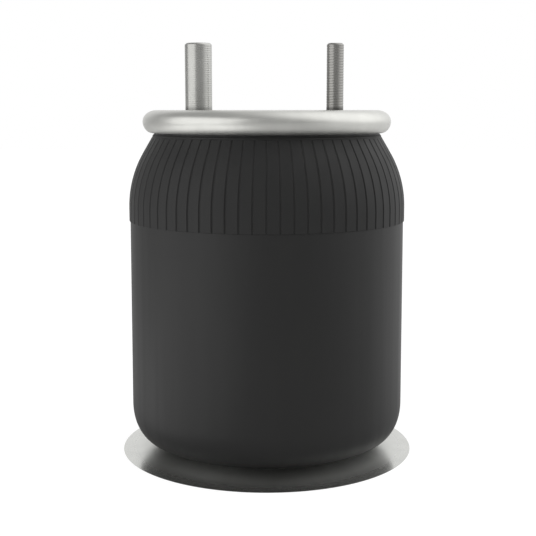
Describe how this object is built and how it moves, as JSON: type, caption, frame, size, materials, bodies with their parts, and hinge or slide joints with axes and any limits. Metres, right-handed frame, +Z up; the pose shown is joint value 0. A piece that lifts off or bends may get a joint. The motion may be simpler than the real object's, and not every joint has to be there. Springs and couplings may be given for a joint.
{
  "type": "air suspension spring",
  "caption": "Rolling lobe air spring: rubber bellows crimped to a round plate with a plain stud and an air port stud, over a steel piston with a flared foot.",
  "frame": {"origin": "centre of the round footprint, on the plane that the flared foot stands on", "axes": "+Z up along the spring's axis, from the foot to the studs; +X from the wide air port stud towards the plain stud; -Y is the pictured front"},
  "size_m": [0.222, 0.222, 0.3073],
  "materials": {
    "bead_plate_steel": "zinc plated, satin",
    "stud_steel": "zinc plated, satin",
    "bellows_rubber": "moulded, satin",
    "bumper_rubber": "moulded, matt",
    "wire_steel": "brass coated wire",
    "piston_steel": "black electrocoat",
    "skirt_steel": "zinc plated, bright",
    "fastener_steel": "zinc plated"
  },
  "bodies": {
    "piston": {"piston_body": "piston_steel", "piston_skirt": "skirt_steel", "piston_base": "piston_steel", "base_weld_nut_left": "fastener_steel", "base_weld_nut_right": "fastener_steel", "support_tube": "piston_steel", "piston_bolt": "fastener_steel", "piston_bolt_washer": "fastener_steel", "end_closure": "piston_steel", "bumper": "bumper_rubber", "bumper_washer": "fastener_steel", "bumper_screw": "fastener_steel", "bellows_inner_sleeve": "bellows_rubber", "lower_bead_wire": "wire_steel"},
    "lobe": {"bellows_lobe": "bellows_rubber"},
    "sleeve": {"bellows_outer_sleeve": "bellows_rubber", "bellows_shoulder": "bellows_rubber"},
    "bead_plate": {"bead_plate": "bead_plate_steel", "combo_stud": "stud_steel", "mounting_stud": "stud_steel", "bellows_upper_bead": "bellows_rubber", "upper_bead_wire": "wire_steel"}
  },
  "joints": [
    {"name": "lobe_roll", "type": "slide", "parent": "piston", "child": "lobe", "axis": [0, 0, 1], "range_m": [-0.004, 0.07], "deforming": ["bellows_inner_sleeve"]},
    {"name": "stroke", "type": "slide", "parent": "lobe", "child": "sleeve", "axis": [0, 0, 1], "range_m": [-0.004, 0.07], "stiffness_N_per_m": 80000, "springref_m": 0.0005, "deforming": ["bellows_outer_sleeve"]},
    {"name": "plate_tilt", "type": "hinge", "parent": "sleeve", "child": "bead_plate", "pos_m": [0, 0, 0.2402], "axis": [0, 1, 0], "range_deg": [-6, 6], "stiffness_Nm_per_rad": 60, "deforming": ["bellows_shoulder"]}
  ],
  "couplings": [
    {"joint": "lobe_roll", "follows": "stroke", "ratio": 1}
  ]
}
